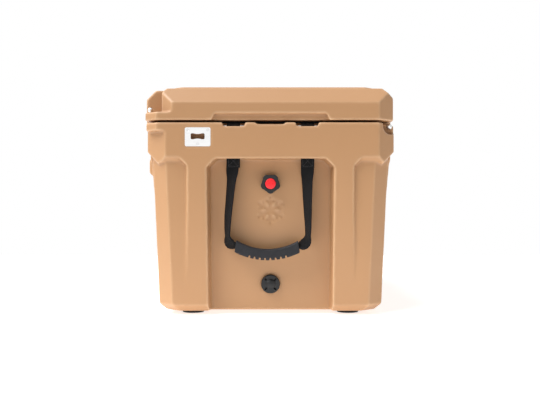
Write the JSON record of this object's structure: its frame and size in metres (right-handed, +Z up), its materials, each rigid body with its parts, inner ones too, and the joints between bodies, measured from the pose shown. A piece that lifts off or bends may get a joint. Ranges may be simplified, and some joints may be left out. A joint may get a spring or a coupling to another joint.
{
  "type": "cooler chest",
  "caption": "Insulated hard-sided cooler chest with a hinged lid, rubber latches, webbing carry handles, a vent, a drain and a bottle opener.",
  "frame": {"origin": "middle of the tub's footprint on the floor, under the feet", "axes": "+Z up, X along the chest with +X at the end that holds the vent, drain and opener, -Y the front with the latches, +Y the back with the hinges"},
  "size_m": [0.775, 0.4635, 0.4165],
  "materials": {
    "moulded_shell": "satin",
    "foam": "matte",
    "steel": "satin",
    "webbing": "matte",
    "black_plastic": "satin",
    "black_rubber": "matte",
    "grip_rubber": "matte",
    "red_plastic": "satin"
  },
  "bodies": {
    "tub": {"tub_shell": "moulded_shell", "tub_core": "foam", "opener_plate": "steel", "opener_screws": "steel", "handle_bars": "steel", "bar_screws": "steel", "strap_loops_left": "webbing", "strap_loops_right": "webbing", "hinge_pin_left": "steel", "hinge_pin_right": "steel", "hinge_screws": "steel", "vent_body": "black_plastic", "vent_nut": "black_plastic", "drain_body": "black_plastic", "drain_washer": "black_rubber", "drain_nut": "black_plastic", "foot_front_left": "black_rubber", "foot_front_right": "black_rubber", "foot_back_left": "black_rubber", "foot_back_right": "black_rubber", "foot_screws": "steel"},
    "lid": {"lid_shell": "moulded_shell", "lid_core": "foam", "lid_gasket": "black_rubber", "latch_pin_left": "steel", "latch_pin_right": "steel", "latch_screws": "steel"},
    "latch_left": {"latch_left": "black_rubber"},
    "latch_right": {"latch_right": "black_rubber"},
    "handle_left": {"webbing_left": "webbing", "grip_left": "grip_rubber"},
    "handle_right": {"webbing_right": "webbing", "grip_right": "grip_rubber"},
    "vent_slide": {"vent_washer": "black_plastic"},
    "vent_knob": {"vent_knob": "black_plastic"},
    "vent_button": {"vent_button": "red_plastic", "vent_seal": "black_rubber"},
    "drain_slide": {"drain_oring": "black_rubber"},
    "drain_plug": {"drain_plug": "black_plastic"}
  },
  "joints": [
    {"name": "lid_hinge", "type": "hinge", "parent": "tub", "child": "lid", "pos_m": [0, 0.217, 0.343], "axis": [-1, 0, 0], "range_deg": [0, 95]},
    {"name": "latch_left_swing", "type": "hinge", "parent": "lid", "child": "latch_left", "pos_m": [-0.253, -0.228, 0.379], "axis": [-1, 0, 0], "range_deg": [0, 150]},
    {"name": "latch_right_swing", "type": "hinge", "parent": "lid", "child": "latch_right", "pos_m": [0.253, -0.228, 0.379], "axis": [-1, 0, 0], "range_deg": [0, 150]},
    {"name": "handle_left_swing", "type": "hinge", "parent": "tub", "child": "handle_left", "pos_m": [-0.372, 0, 0.28], "axis": [0, 1, 0], "range_deg": [0, 90]},
    {"name": "handle_right_swing", "type": "hinge", "parent": "tub", "child": "handle_right", "pos_m": [0.372, 0, 0.28], "axis": [0, -1, 0], "range_deg": [0, 90]},
    {"name": "vent_lift", "type": "slide", "parent": "tub", "child": "vent_slide", "axis": [1, 0, 0], "range_m": [0, 0.002]},
    {"name": "vent_turn", "type": "hinge", "parent": "vent_slide", "child": "vent_knob", "pos_m": [0.37, 0, 0.238], "axis": [1, 0, 0], "range_deg": [0, 360]},
    {"name": "vent_press", "type": "slide", "parent": "vent_knob", "child": "vent_button", "axis": [-1, 0, 0], "range_m": [0, 0.003], "stiffness_N_per_m": 300, "springref_m": -0.002},
    {"name": "drain_lift", "type": "slide", "parent": "tub", "child": "drain_slide", "axis": [1, 0, 0], "range_m": [0, 0.006]},
    {"name": "drain_turn", "type": "hinge", "parent": "drain_slide", "child": "drain_plug", "pos_m": [0.353, 0, 0.055], "axis": [1, 0, 0], "range_deg": [0, 720]}
  ],
  "couplings": [
    {"joint": "vent_lift", "follows": "vent_turn", "m_per_rad": 0.000318},
    {"joint": "drain_lift", "follows": "drain_turn", "m_per_rad": 0.000477}
  ]
}
